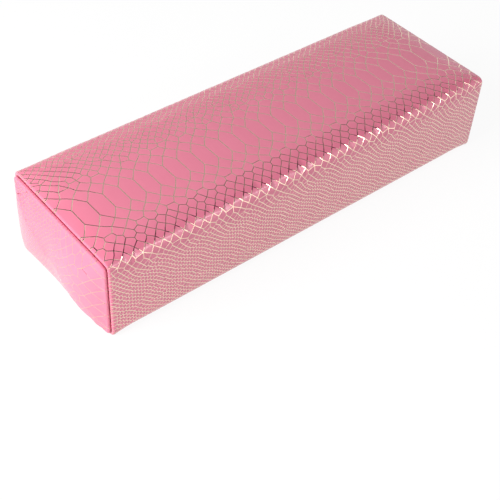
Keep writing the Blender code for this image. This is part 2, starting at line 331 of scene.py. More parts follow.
@dataclass
class ClothSwell:
    """How the cover swells when the foam presses it out, from a cloth simulation.

    The pad is a closed shell on a regular grid: rings round the body and shrinking rings on
    the ends. Its seam rings are pinned and pressure pushes the rest out.
    """

    form: CushionForm
    along: int = 49
    around: int = 64
    shares: tuple[float, ...] = (0.88, 0.76, 0.62, 0.48, 0.32, 0.16)
    pressure: float = 4.0
    frames: int = 20
    quality: int = 6
    mass: float = 0.3
    fullness: float = 0.45
    facing: float = 0.99
    bearing_steps: int = 4000

    def __post_init__(self) -> None:
        """Set up the grid's stations, and a parabola on each face until the pad is simulated."""
        form = self.form
        self.x = np.linspace(-form.length / 2, form.length / 2, self.along)
        self.s = np.linspace(0, form.ring.length, self.around, endpoint=False)
        self.spot, self.outward = form.ring.at(self.s)
        self.middle = np.array((0.0, form.height / 2))
        across = 1 - (2 * self.spot[:, 0] / form.width) ** 2
        upright = 1 - (2 * self.spot[:, 1] / form.height - 1) ** 2
        level = np.where(np.abs(self.outward[:, 1]) > np.abs(self.outward[:, 0]), across, upright)
        self.field = form.fill(self.x)[:, None] * np.clip(level, 0, 1)
        rings = np.array((1.0, *self.shares, 0.0))
        self.end_shares = rings[::-1]
        end_levels = 1 - (self.end_shares[:, None, None] * (self.spot - self.middle) / (
            form.width / 2, form.height / 2)) ** 2
        self.end_field = np.clip(end_levels, 0, 1).prod(axis=-1)
        fine = np.linspace(0, form.ring.length, self.bearing_steps, endpoint=False)
        self.ring = Bearings(form.ring.at(fine)[0] - self.middle, fine, form.ring.length)

    def shell(self) -> tuple[np.ndarray, np.ndarray]:
        """The pad's points and quads, with its two poles last.

        Returns:
            Points (n, 3) and quads (m, 4). The triangles round the poles are not among them.
        """
        count = self.around
        body = np.empty((self.along, count, 3))
        body[..., 0] = self.x[:, None]
        body[..., 1:] = self.spot
        ends = []
        for x in (self.x[0], self.x[-1]):
            rings = np.empty((len(self.shares), count, 3))
            rings[..., 0] = x
            rings[..., 1:] = self.middle + (self.spot - self.middle) * np.array(
                self.shares)[:, None, None]
            ends.append(rings)
        rows = np.concatenate((ends[0][::-1], body, ends[1]))
        poles = np.array([(x, *self.middle) for x in (self.x[0], self.x[-1])])
        points = np.concatenate((rows.reshape(-1, 3), poles))
        number = np.arange(len(rows) * count).reshape(len(rows), count)
        after = np.roll(number, -1, axis=1)
        quads = np.stack((number[:-1], after[:-1], after[1:], number[1:]), -1).reshape(-1, 4)
        return points, quads

    def simulate(self) -> None:
        """Run the cloth for its frames and keep the swell of each grid point."""
        points, quads = self.shell()
        count = self.around
        rings = len(self.shares)
        total = len(points)
        last = (self.along + 2 * rings - 1) * count
        turn = np.arange(count)
        fans = [(total - 2, *pair) for pair in np.stack((np.roll(turn, -1), turn), -1).tolist()]
        fans += [(total - 1, last + a, last + b)
                 for a, b in np.stack((turn, np.roll(turn, -1)), -1).tolist()]
        mesh = bpy.data.meshes.new("pad")
        mesh.from_pydata(points.tolist(), [], quads.tolist() + fans)
        pad = placed("pad", mesh)
        self.face_out(mesh)
        held = pad.vertex_groups.new(name="seams")
        first_seam, last_seam = rings * count, (rings + self.along - 1) * count
        held.add([*range(first_seam, first_seam + count), *range(last_seam, last_seam + count)],
                 1.0, "REPLACE")
        cloth = pad.modifiers.new("Cloth", "CLOTH")
        cloth.settings.quality = self.quality
        cloth.settings.mass = self.mass
        cloth.settings.use_pressure = True
        cloth.settings.uniform_pressure_force = self.pressure
        cloth.settings.vertex_group_mass = held.name
        cloth.settings.effector_weights.gravity = 0
        cloth.point_cache.frame_end = self.frames
        scene = bpy.context.scene
        for number in range(1, self.frames + 1):
            scene.frame_set(number)
        evaluated = pad.evaluated_get(bpy.context.evaluated_depsgraph_get())
        moved = np.empty(total * 3)
        evaluated.data.vertices.foreach_get("co", moved)
        scene.frame_set(1)
        bpy.data.objects.remove(pad)
        bpy.data.meshes.remove(mesh)
        self.keep(moved.reshape(-1, 3) - points)

    def face_out(self, mesh: bpy.types.Mesh) -> None:
        """Turn the shell right side out if the face halfway through it faces inwards.

        Args:
            mesh: the pad's mesh.
        """
        face = mesh.polygons[len(mesh.polygons) // 2]
        centre, normal = np.array(face.center), np.array(face.normal)
        if float(np.dot(normal[1:], centre[1:] - self.middle)) < 0:
            mesh.flip_normals()

    def keep(self, moved: np.ndarray) -> None:
        """Store the swell as a share of each face's own middle.

        A point's swell is tanh(move / fullness), with its outward move as a share of the
        face's largest one: the smaller the fullness, the flatter the face inside its edges.

        Args:
            moved: how far each point of the pad moved.
        """
        rings = len(self.shares)
        rows = moved[:-2].reshape(-1, self.around, 3)
        body = rows[rings:rings + self.along]
        out = np.sum(body[..., 1:] * self.outward, axis=-1)
        centre = out[self.along // 2]
        top = centre[self.outward[:, 1] > self.facing].max()
        side = centre[np.abs(self.outward[:, 0]) > self.facing].max()
        level = np.where(np.abs(self.outward[:, 1]) > np.abs(self.outward[:, 0]), top, side)
        self.field = np.tanh(np.clip(out, 0, None) / level / self.fullness) / np.tanh(
            1 / self.fullness)
        left = -rows[:rings + 1, :, 0]
        pole = np.full((1, self.around), -moved[-2, 0])
        end = np.clip(np.concatenate((pole, left)), 0, None)
        self.end_field = end / end[0].max()
        LOG.info("cloth: top %.1f mm, side %.1f mm, end %.1f mm",
                 top * 1000, side * 1000, end[0].max() * 1000)

    def wrap(self, x: np.ndarray, girth: np.ndarray) -> np.ndarray:
        """The swell on the wrap, read between the grid's points in both directions.

        Args:
            x: places along the cushion.
            girth: distances along the girth.

        Returns:
            Shares of each face's largest swell.
        """
        x, girth = np.broadcast_arrays(x, girth)
        step = self.x[1] - self.x[0]
        a = np.clip((x - self.x[0]) / step, 0, self.along - 1)
        b = girth / (self.s[1] - self.s[0])
        return self.read(self.field, a, b)

    def end(self, share: np.ndarray, bearing: np.ndarray) -> np.ndarray:
        """The swell on an end panel, for a share of the way out and a bearing in (y, z)."""
        a = np.interp(share, self.end_shares, np.arange(len(self.end_shares)))
        return self.read(self.end_field, a, self.ring.at(bearing) / (self.s[1] - self.s[0]))

    @staticmethod
    def read(grid: np.ndarray, a: np.ndarray, b: np.ndarray) -> np.ndarray:
        """Smooth reading of a grid whose second axis runs round and closes.

        The weights are those of a cubic B-spline. Past its ends the first axis goes on as an
        odd mirror image, so that the pinned rows keep their value.

        Args:
            grid: the field (rows, columns).
            a: row places.
            b: column places.

        Returns:
            The field at the places.
        """
        before, after = 2 * grid[:1] - grid[1:2], 2 * grid[-1:] - grid[-2:-1]
        grid = np.concatenate((before, grid, after, after))
        row, column = np.floor(a).astype(int), np.floor(b).astype(int)
        total = np.zeros(a.shape)
        for i, down in enumerate(spline_weights(a - row)):
            for j, right in enumerate(spline_weights(b - column)):
                total += down * right * grid[row + i, (column + j - 1) % grid.shape[1]]
        return total


def spline_weights(part: np.ndarray) -> tuple[np.ndarray, ...]:
    """The four weights of a uniform cubic B-spline, for the part of the way between points.

    Args:
        part: from 0 at the second point to 1 at the third.

    Returns:
        The weights of the four points in order.
    """
    rest = 1 - part
    return (rest**3 / 6, (3 * part**3 - 6 * part**2 + 4) / 6,
            (3 * rest**3 - 6 * rest**2 + 4) / 6, part**3 / 6)


@dataclass(frozen=True)
class SideRows:
    """How the rows of scales shrink on one side of a belly row.

    Spacings are read at distances from the belly line. At each of the extra distances one
    scale more per period squeezes into the rows.
    """

    distances: tuple[float, ...]
    spacings: tuple[float, ...]
    extra: tuple[float, ...]


FRONT_ROWS = SideRows((0.0182, 0.0232, 0.0277, 0.036, 0.044, 0.048, 0.053),
                      (0.0050, 0.0045, 0.0041, 0.0035, 0.0028, 0.0017, 0.00135),
                      (0.0400, 0.0425, 0.0445, 0.0460, 0.0475, 0.0490))
BACK_ROWS = SideRows((0.0182, 0.0230, 0.0268, 0.0299, 0.0352, 0.045, 0.060),
                     (0.0048, 0.0038, 0.0031, 0.0028, 0.0023, 0.0021, 0.0025),
                     (0.0265, 0.0300, 0.0345, 0.0400))


@dataclass
class SnakeSkin:
    """The skin's rows of scales: one belly row, and smaller scales away from it on each side.

    Everything repeats along the sheet with one period. The belly rows lie far apart, and the
    rows between two of them shrink from both towards the middle. Within the thin range, on the
    side of one belly row that lies underneath, every second row and scale is left out.
    """

    period: float = 0.05892
    belly_count: int = 6
    belly_phase: float = -0.0016
    belly_seeds: tuple[float, ...] = (-0.0077, -0.0038, 0.0, 0.0038, 0.0077)
    belly_spacing: float = 0.155
    shoulder: tuple[float, ...] = (0.0123, 0.0182)
    slip_phase: float = -0.0040
    slip_width: float = 0.011
    slip_growth: float = 0.012
    wedge: float = 0.0014
    wave: float = 0.0006
    jitter: float = 0.00012
    shuffle: float = 0.0003
    thin_range: tuple[float, float] = (0.022, 0.056)
    side_count: float = 1.5
    slip_turn: float = 0.382
    fine_range: tuple[float, float] = (0.02, 0.04)
    waves: int = 2
    wave_rows: int = 5
    loose_rows: int = 3
    calming: float = 0.4
    bellies: int = 2
    pitches: int = 40
    samples: int = 6001
    seed: int = 7

    def offsets(self, side: SideRows) -> np.ndarray:
        """Row offsets from the belly line to the middle between two belly lines.

        The spacing is read from the table at each row, and the rows past the last entry are
        stretched a little so that one lies exactly on the middle.

        Args:
            side: the rows' table.

        Returns:
            The offsets in order.
        """
        rows = list(self.shoulder)
        middle = self.belly_spacing / 2
        while rows[-1] < middle:
            rows.append(rows[-1] + float(np.interp(rows[-1], side.distances, side.spacings)))
        rows = np.array(rows[:-1])
        fine = rows > side.distances[-1]
        start = rows[fine][0]
        rows[fine] = start + (rows[fine] - start) * (middle - start) / (rows[-1] - start)
        return rows

    def slip(self, u: np.ndarray, centre: float, width: float) -> np.ndarray:
        """A count that rises by one in each period, within a width round a centre.

        Args:
            u: places along the sheet.
            centre: the middle of one rise.
            width: how long the rise is.

        Returns:
            The count at each place.
        """
        turn = (u - centre) / self.period + 0.5
        part = turn - np.floor(turn)
        return np.floor(turn) + np.clip((part - 0.5) * self.period / width + 0.5, 0, 1)

    def row(self, u: np.ndarray, number: int, distance: float, side: SideRows) -> np.ndarray:
        """The running count of scales along a row.

        Two rows next to the belly have its count, the next ones half as many again. Each
        extra scale comes in at one place of the period and spreads out in the rows after it.

        Args:
            u: places along the sheet.
            number: the row's number from the belly.
            distance: its distance from the belly line.
            side: the table of the side it lies on.

        Returns:
            The count at each place, a whole number at each scale's centre.
        """
        shift = 0.5 * (number % 2)
        count = self.belly_count * (u - self.belly_phase) / self.period
        if number > len(self.shoulder):
            count = count * self.side_count
        for k, first in enumerate(side.extra):
            if distance > first:
                width = float(np.interp(distance - first, (0, self.slip_growth),
                                        (self.slip_width, self.period)))
                centre = self.slip_phase + self.period * (k * self.slip_turn % 1)
                count = count + self.slip(u, centre, width)
        return count + shift

    def seeds(self, half_length: float, low: float, high: float) -> tuple[np.ndarray, np.ndarray]:
        """Seeds of every scale on a sheet, and the number of the scale each belongs to.

        Args:
            half_length: the sheet's half length.
            low: the sheet's lower bound across, from the belly line.
            high: its upper bound.

        Returns:
            Points (n, 2) and scale numbers (n,). A belly scale has several seeds.
        """
        draw = np.random.default_rng(self.seed)
        reach = half_length + 2 * MARGIN
        u = np.linspace(-reach, reach, self.samples)
        points, owners, count = [], [], 0
        pitch = self.period / self.belly_count
        for belly in range(-self.bellies, self.bellies + 1):
            line = belly * self.belly_spacing
            centres = np.arange(-self.pitches, self.pitches + 1) * pitch + self.belly_phase
            for offset in self.belly_seeds:
                points.append(np.stack((centres, np.full(len(centres), line + offset)), 1))
                owners.append(count + np.arange(len(centres)))
            count += len(centres)
            for toward in (-1, 1):
                side = FRONT_ROWS if (toward < 0) == (belly % 2 == 0) else BACK_ROWS
                rows = self.offsets(side)
                for number, distance in enumerate(rows, start=1):
                    if toward > 0 and number == len(rows):
                        continue
                    thin = belly == -1 and toward > 0 and (
                        self.thin_range[0] < distance < self.thin_range[1])
                    if thin and number % 2:
                        continue
                    running = self.row(u, number, distance, side)
                    whole = np.arange(math.ceil(running[0]), math.floor(running[-1]) + 1,
                                      1 + thin)
                    centres = np.interp(whole, running, u)
                    fine = float(np.interp(distance, self.fine_range, (0, 1)))
                    past = number - len(self.shoulder)
                    turn = 2 * np.pi * self.waves * centres / self.period
                    swing = self.wave * fine * np.sin(turn + number / self.wave_rows)
                    if past == 1:
                        turn = 2 * np.pi * (centres - self.belly_phase) / pitch
                        swing = self.wedge * np.cos(turn)
                    spots = np.stack((centres, line + toward * (distance + swing)), 1)
                    mixed = 0 < past <= self.loose_rows
                    loose = self.shuffle if mixed else self.jitter * (1 - self.calming * fine)
                    spots = spots + draw.normal(0, loose, spots.shape)
                    points.append(spots)
                    owners.append(count + np.arange(len(whole)))
                    count += len(whole)
        points, owners = np.concatenate(points), np.concatenate(owners)
        inside = (np.abs(points[:, 0]) < half_length + MARGIN) & (
            points[:, 1] > low - MARGIN) & (points[:, 1] < high + MARGIN)
        return points[inside], owners[inside]


@dataclass
class ScaleSheet:
    """A rectangle of embossed sheet, cut into scales.

    The scales are the Voronoi cells of the seeds. Each has a rim set in from its outline, a
    plate inside the rim and walls that slope down to the outline, where the groove is deepest.
    A line's width is read at its distance from the belly. Below slant_above, the slant widens
    the lines that fall to the right and narrows those that rise, in full at slant_below.
    """

    seeds: np.ndarray
    owners: np.ndarray
    low: np.ndarray
    high: np.ndarray
    half_line: float = 0.00025
    groove: float = 0.00003
    pillow: float = 0.00008
    slant: float = 0.25
    slant_above: float = -1.0
    slant_below: float = -1.01
    longest: float = 0.0045
    border_step: float = 0.0016
    belly: float = 0.0
    belly_spacing: float = 0.155
    weld: tuple[float, float] = (0.0019, 0.0009)
    weld_range: tuple[float, float] = (0.026, 0.048)
    small: float = 0.0034
    snap: float = 0.0007
    line_share: tuple[float, float] = (1.0, 0.68)
    line_range: tuple[float, float] = (0.020, 0.050)
    bend: float = 0.00012
    longest_move: float = 2.2
    side_share: float = 0.45
    weld_passes: int = 4
    bend_seed: int = 11

    def on_border(self, points: np.ndarray) -> np.ndarray:
        """Which of the four borders each point lies on, as four columns of True or False."""
        return np.concatenate((np.abs(points - self.low) < TINY,
                               np.abs(points - self.high) < TINY), axis=1)

    def from_belly(self, height: np.ndarray) -> np.ndarray:
        """Distances from the nearest belly line."""
        turns = (height - self.belly) / self.belly_spacing
        return np.abs(turns - np.round(turns)) * self.belly_spacing

    def corners(self) -> tuple[np.ndarray, np.ndarray, np.ndarray]:
        """Cell corners and which cells they belong to.

        The corners are the circumcentres of the seeds' Delaunay triangles. Corners closer
        together than the weld there become one, so that rows of scales meet in crosses.

        Returns:
            Corner points, and matching arrays of cell numbers and corner numbers.
        """
        points, owners = self.seeds, self.owners
        spread = [Vector(point) for point in points.tolist()]
        _, _, faces, _, _, _ = delaunay_2d_cdt(spread, [], [], 0, 1e-8)
        triangles = np.array(faces)
        a, b, c = points[triangles[:, 0]], points[triangles[:, 1]], points[triangles[:, 2]]
        ab, ac = b - a, c - a
        cross = 2 * (ab[:, 0] * ac[:, 1] - ab[:, 1] * ac[:, 0])
        ab2, ac2 = np.sum(ab**2, 1), np.sum(ac**2, 1)
        centre = a + np.stack((ac[:, 1] * ab2 - ab[:, 1] * ac2,
                               ab[:, 0] * ac2 - ac[:, 0] * ab2), 1) / cross[:, None]
        sides = np.sort(np.concatenate((triangles[:, :2], triangles[:, 1:], triangles[:, ::2])), 1)
        owner = np.tile(np.arange(len(triangles)), 3)
        key = sides[:, 0] * len(points) + sides[:, 1]
        order = np.argsort(key, kind="stable")
        twins = key[order][:-1] == key[order][1:]
        first, second = owner[order][:-1][twins], owner[order][1:][twins]
        across = (centre[first] + centre[second])[:, 1] / 2
        weld = np.interp(self.from_belly(across), self.weld_range, self.weld)
        short = np.linalg.norm(centre[first] - centre[second], axis=1) < weld
        label = np.arange(len(triangles))
        for _ in range(self.weld_passes):
            least = np.minimum(label[first[short]], label[second[short]])
            np.minimum.at(label, first[short], least)
            np.minimum.at(label, second[short], least)
        _, label = np.unique(label, return_inverse=True)
        welded = group_means(label, centre)
        for axis in (0, 1):
            for bound in (self.low[axis], self.high[axis]):
                near = np.abs(welded[:, axis] - bound) < self.snap
                welded[near, axis] = bound
        pairs = np.unique(owners[triangles].ravel() * len(welded) + np.repeat(label, 3))
        return welded, pairs // len(welded), pairs % len(welded)

    def clipped(self, points: np.ndarray, cell: np.ndarray, corner: np.ndarray, axis: int,
                bound: float, sign: int) -> tuple[np.ndarray, np.ndarray, np.ndarray]:
        """Cells cut off along one border.

        Where a side crosses the border a point is added, which the cells on both sides of it
        share. A cell that has no point inside is dropped.

        Args:
            points: cell corners.
            cell: the cell of each outline point, in order.
            corner: its corner.
            axis: 0 or 1.
            bound: the border's place on that axis.
            sign: 1 for a high border, -1 for a low one.

        Returns:
            The three arrays after the cut.
        """
        past = sign * (points[:, axis] - bound)
        outside, on_line = past > TINY, np.abs(past) <= TINY
        after = corner[following(cell)]
        inner = np.where(outside[corner], after, corner)
        cross = (outside[corner] != outside[after]) & ~on_line[inner]
        key = np.minimum(corner, after) * len(points) + np.maximum(corner, after)
        keys, which = np.unique(key[cross], return_inverse=True)
        a, b = keys // len(points), keys % len(points)
        share = (bound - points[a, axis]) / (points[b, axis] - points[a, axis])
        fresh = points[a] + (points[b] - points[a]) * share[:, None]
        fresh[:, axis] = bound
        fresh_number = np.zeros(len(cell), int)
        fresh_number[cross] = len(points) + which
        keep = ~outside[corner]
        source, step = repeated(keep + cross.astype(int))
        number = np.where((step == 0) & keep[source], corner[source], fresh_number[source])
        points, cell = np.concatenate((points, fresh)), cell[source]
        inside = sign * (points[number, axis] - bound) < -TINY
        real = np.bincount(cell, inside)[cell] > 0
        return points, cell[real], number[real]

    def outlines(self) -> tuple[np.ndarray, np.ndarray, np.ndarray]:
        """Cell outlines with long sides divided, anticlockwise.

        Returns:
            Corner points, and arrays of the cell and corner of each outline point in order.
        """
        points, cell, corner = self.corners()
        offset = points[corner] - group_means(cell, points[corner])[cell]
        order = np.lexsort((np.arctan2(offset[:, 1], offset[:, 0]), cell))
        cell, corner = cell[order], corner[order]
        for axis in (0, 1):
            for bound, sign in ((self.low[axis], -1), (self.high[axis], 1)):
                points, cell, corner = self.clipped(points, cell, corner, axis, bound, sign)
        after = corner[following(cell)]
        low, high = np.minimum(corner, after), np.maximum(corner, after)
        sides, side = np.unique(low * len(points) + high, return_inverse=True)
        a, b = sides // len(points), sides % len(points)
        length = np.linalg.norm(points[b] - points[a], axis=1)
        border = np.any(self.on_border(points[a]) & self.on_border(points[b]), axis=1)
        parts = np.ceil(length / np.where(border, self.border_step, self.longest)).astype(int)
        parts = np.maximum(parts, 1)
        draw = np.random.default_rng(self.bend_seed)
        bend = np.where(border, 0, draw.normal(0, self.bend, len(sides)))
        bend = np.clip(bend, -2 * self.bend, 2 * self.bend)
        which, step = repeated(parts - 1)
        share = (step + 1) / parts[which]
        along = points[b] - points[a]
        across = left_of(along) / np.maximum(length, LEAST)[:, None]
        bow = (bend[which] * np.sin(np.pi * share))[:, None]
        added = points[a][which] + along[which] * share[:, None] + across[which] * bow
        count = parts[side]
        source, step = repeated(count)
        begin = np.cumsum(parts - 1) - (parts - 1)
        forward = corner[source] < after[source]
        fresh = begin[side[source]] + np.where(forward, step - 1, count[source] - 1 - step)
        number = np.where(step == 0, corner[source], len(points) + fresh)
        return np.concatenate((points, added)), cell[source], number

    def build(self) -> "ScaleMesh":
        """Plates, walls and grooves of every scale, in flat sheet coordinates.

        Returns:
            The mesh, whose points are the groove bottoms, then the rims, then the middles.
        """
        points, cell, corner = self.outlines()
        ahead = following(cell)
        behind = np.empty_like(ahead)
        behind[ahead] = np.arange(len(ahead))
        spot = points[corner]
        run = spot[ahead] - spot
        length = np.maximum(np.linalg.norm(run, axis=1), LEAST)
        run = run / length[:, None]
        inward = left_of(run)
        borders = self.on_border(spot)
        edge_border = np.any(borders & borders[ahead], axis=1)
        middle_height = spot[:, 1] + run[:, 1] * length / 2
        fade = (self.slant_above - middle_height) / (self.slant_above - self.slant_below)
        widen = -2 * run[:, 0] * run[:, 1] * self.slant * np.clip(fade, 0, 1)
        narrow = np.interp(self.from_belly(middle_height), self.line_range, self.line_share)
        reach = np.where(edge_border, 0.0, self.half_line * narrow * (1 + widen))
        move = corner_move(inward[behind], inward, reach[behind], reach)
        moved = np.maximum(np.linalg.norm(move, axis=1), LEAST)
        limit = self.longest_move * self.half_line / moved
        onward = np.maximum(np.sum(move * run, axis=1), LEAST)
        back = np.maximum(-np.sum(move * run[behind], axis=1), LEAST)
        share = np.minimum(length / onward, length[behind] / back) * self.side_share
        move = move * np.minimum(np.minimum(limit, share), 1)[:, None]
        rim = spot + move
        _, group = np.unique(cell, return_inverse=True)
        middle = group_means(group, rim)
        grooved = ~(edge_border & edge_border[behind])
        base, rims = len(points), len(rim)
        flat = np.concatenate((points, rim, middle))
        height = np.concatenate((np.full(base, -self.groove), np.zeros(rims),
                                 np.full(len(middle), self.pillow)))
        here = np.arange(rims)
        wall = ~edge_border
        walls = np.stack((corner, corner[ahead], base + ahead, base + here), 1)[wall]
        reach_out = np.zeros(len(middle))
        np.maximum.at(reach_out, group, np.linalg.norm(rim - middle[group], axis=1))
        first = group_starts(group)
        inner = np.bincount(group, edge_border) == 0
        fan = (reach_out < self.small) & inner
        hub = np.where(fan[group], base + first[group], base + rims + group)
        plates = np.stack((base + here, base + ahead, hub), 1)
        plates = plates[(hub != base + here) & (hub != base + ahead)]
        return ScaleMesh(flat, height, walls, plates, base, corner, borders, grooved)


@dataclass
class ScaleMesh:
    """A built sheet: flat points with heights, its walls and plates, and its outline points."""

    flat: np.ndarray
    height: np.ndarray
    walls: np.ndarray
    plates: np.ndarray
    base: int
    corner: np.ndarray
    borders: np.ndarray
    grooved: np.ndarray

    def border(self, sides: tuple[int, ...]) -> tuple[np.ndarray, np.ndarray]:
        """The points on some of the borders, in no order, and which of them are groove bottoms.

        Args:
            sides: border numbers: 0 and 1 are the low ones of each axis, 2 and 3 the high ones.

        Returns:
            Point numbers and True where the point is the bottom of a groove.
        """
        touches = np.any(self.borders[:, sides], axis=1)
        rims = self.base + np.flatnonzero(touches)
        bottoms = np.unique(self.corner[touches & self.grooved])
        numbers = np.concatenate((rims, bottoms))
        return numbers, np.arange(len(numbers)) >= len(rims)


def group_means(group: np.ndarray, points: np.ndarray) -> np.ndarray:
    """The mean of each group's points, or 0 where a number has none."""
    tally = np.maximum(np.bincount(group), 1)
    return np.stack([np.bincount(group, points[:, i]) / tally for i in (0, 1)], 1)


def group_starts(group: np.ndarray) -> np.ndarray:
    """Where each run of one group number starts."""
    return np.flatnonzero(np.concatenate(((True,), group[1:] != group[:-1])))


def repeated(counts: np.ndarray) -> tuple[np.ndarray, np.ndarray]:
    """Each element's number as often as its count says, and the repeats numbered from 0."""
    source = np.repeat(np.arange(len(counts)), counts)
    return source, np.arange(len(source)) - np.repeat(np.cumsum(counts) - counts, counts)


def left_of(vectors: np.ndarray) -> np.ndarray:
    """Flat vectors turned a quarter to the left."""
    return np.stack((-vectors[:, 1], vectors[:, 0]), 1)


def following(group: np.ndarray) -> np.ndarray:
    """The index of the next element in the same group, the last one's being the first.

    Args:
        group: group numbers, each in one run.

    Returns:
        The indices.
    """
    ahead = np.arange(len(group)) + 1
    starts = group_starts(group)
    ends = np.concatenate((starts[1:], (len(group),))) - 1
    ahead[ends] = starts
    return ahead


def corner_move(before: np.ndarray, after: np.ndarray, reach_before: np.ndarray,
                reach_after: np.ndarray) -> np.ndarray:
    """How a corner moves when its two sides move in by their own reaches.

    The move m solves m . before = reach_before and m . after = reach_after. Where the sides
    are nearly in line it is the mean of both pushes.

    Args:
        before: inward normals of the sides that end at the corners.
        after: inward normals of the sides that start there.
        reach_before: how far the first sides move.
        reach_after: how far the second sides move.

    Returns:
        Moves (n, 2).
    """
    cross = before[:, 0] * after[:, 1] - before[:, 1] * after[:, 0]
    clear = np.abs(cross) > STRAIGHT
    safe = np.where(clear, cross, 1.0)[:, None]
    reach_before, reach_after = reach_before[:, None], reach_after[:, None]
    exact = (reach_after * left_of(before) - reach_before * left_of(after)) / safe
    mean = (reach_before * before + reach_after * after) / 2
    return np.where(clear[:, None], exact, mean)


def face_numbers(quads: np.ndarray, triangles: np.ndarray) -> tuple[np.ndarray, ...]:
    """Corner numbers, first corners and sizes of a mix of quads and triangles.

    Args:
        quads: point numbers (n, 4).
        triangles: point numbers (m, 3).

    Returns:
        The three arrays that a mesh is filled from.
    """
    corners = np.concatenate((quads.ravel(), triangles.ravel()))
    sizes = np.concatenate((np.full(len(quads), 4), np.full(len(triangles), 3)))
    return corners, np.cumsum(sizes) - sizes, sizes


def strip(rows: np.ndarray, closed: bool, flipped: bool) -> np.ndarray:
    """Quads that join rows of point numbers.

    Args:
        rows: point numbers (rows, columns).
        closed: True where the last column joins the first.
        flipped: True to turn the quads over.

    Returns:
        Quads (n, 4), row by row.
    """
    if closed:
        rows = np.concatenate((rows, rows[:, :1]), axis=1)
    quads = np.stack((rows[:-1, :-1], rows[:-1, 1:], rows[1:, 1:], rows[1:, :-1]), -1)
    return (quads[..., ::-1] if flipped else quads).reshape(-1, 4)


class Slot(Enum):
    """Material slots of a piece of the cover."""

    LEATHER = 0
    FOIL = 1
    BACKING = 2


class End(Enum):
    """The cushion's two ends, by the sign of their x."""

    LEFT = -1
    RIGHT = 1


@dataclass
class CoverPiece:
    """What the wrap and the end panels share: their mesh, thickness and finishes."""

    form: CushionForm
    roll_steps: int = 6

    def runs(self) -> np.ndarray:
        """Distances from the allowance's tip to the end of the roll, from the roll inwards."""
        start, roll = self.form.allowance, self.form.roll_length
        return np.concatenate((start + roll * np.linspace(1, 0, self.roll_steps + 1), (0.0,)))

    def make(self, name: str, points: np.ndarray, walls: np.ndarray, leather_walls: np.ndarray,
             plates: np.ndarray, materials: list[bpy.types.Material]) -> bpy.types.Object:
        """Make the piece from its faces and give it thickness.

        Points that no face uses are left out. Every side of a groove's wall is sharp, and
        everything else is smooth.

        Args:
            name: the object's name.
            points: space points.
            walls: quads of the grooves, in foil.
            leather_walls: quads in leather.
            plates: triangles in leather.
            materials: one for each Slot.

        Returns:
            The object.
        """
        quads = np.concatenate((walls, leather_walls))
        corners, starts, sizes = face_numbers(quads, plates)
        used, corners = np.unique(corners, return_inverse=True)
        mesh = bpy.data.meshes.new(name)
        mesh.vertices.add(len(used))
        mesh.vertices.foreach_set("co", points[used].astype(np.float32).ravel())
        mesh.loops.add(len(corners))
        mesh.loops.foreach_set("vertex_index", corners.astype(np.int32))
        mesh.polygons.add(len(sizes))
        mesh.polygons.foreach_set("loop_start", starts.astype(np.int32))
        slots = np.full(len(sizes), Slot.LEATHER.value, np.int32)
        slots[:len(walls)] = Slot.FOIL.value
        for finish in materials:
            mesh.materials.append(finish)
        mesh.polygons.foreach_set("material_index", slots)
        mesh.update(calc_edges=True)
        mesh.validate()
        mesh.shade_smooth()
        mesh.attributes.new("sharp_edge", "BOOLEAN", "EDGE").data.foreach_set(
            "value", self.sharp(mesh, len(walls)))
        piece = placed(name, mesh)
        wall = piece.modifiers.new("Leathercloth", "SOLIDIFY")
        wall.thickness = self.form.leather
        wall.offset = -1
        wall.material_offset = Slot.BACKING.value
        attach(piece, "root")
        return piece

    @staticmethod
    def sharp(mesh: bpy.types.Mesh, wall_count: int) -> np.ndarray:
        """True for each edge that belongs to a groove's wall.

        Args:
            mesh: the mesh, whose first faces are the walls.
            wall_count: how many those are.

        Returns:
            True or False for each edge.
        """
        loops = np.empty(len(mesh.loops), np.int32)
        mesh.loops.foreach_get("edge_index", loops)
        touched = np.zeros(len(mesh.edges), bool)
        touched[loops[:4 * wall_count]] = True
        return touched


